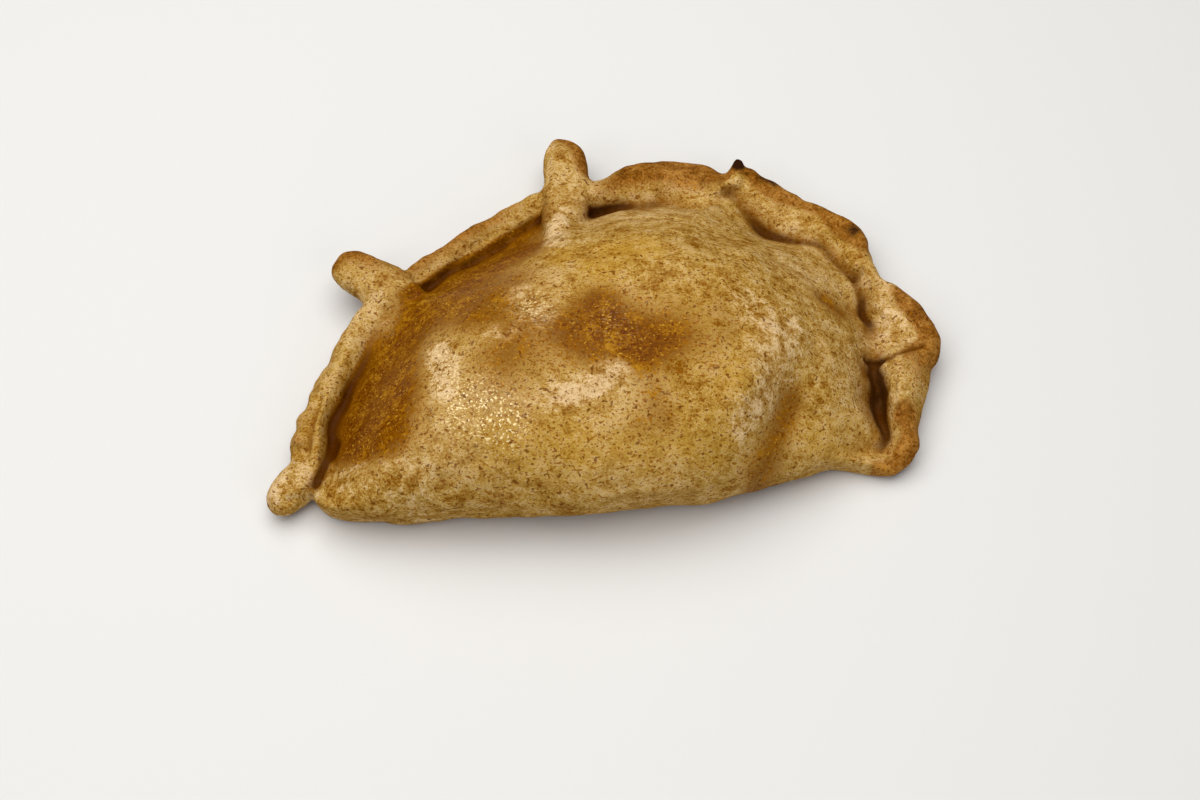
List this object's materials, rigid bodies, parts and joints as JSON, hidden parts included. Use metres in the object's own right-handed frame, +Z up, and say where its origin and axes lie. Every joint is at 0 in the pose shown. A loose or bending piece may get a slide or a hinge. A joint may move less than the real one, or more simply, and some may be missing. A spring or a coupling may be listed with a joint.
{
  "type": "empanada",
  "caption": "Baked half-moon empanada with a smooth rolled front, a folded and pinched sealed edge and a flat underside.",
  "frame": {"origin": "middle of the footprint's bounding box, on the plane that the pie rests on", "axes": "+X along the rolled front edge towards the broad flaps, +Y from the rolled front to the folded edge, +Z up"},
  "size_m": [0.1624, 0.1094, 0.0375],
  "materials": {
    "crust": "baked wholemeal dough, egg-washed and browned in patches"
  },
  "bodies": {
    "root": {"empanada": "crust"}
  },
  "joints": []
}
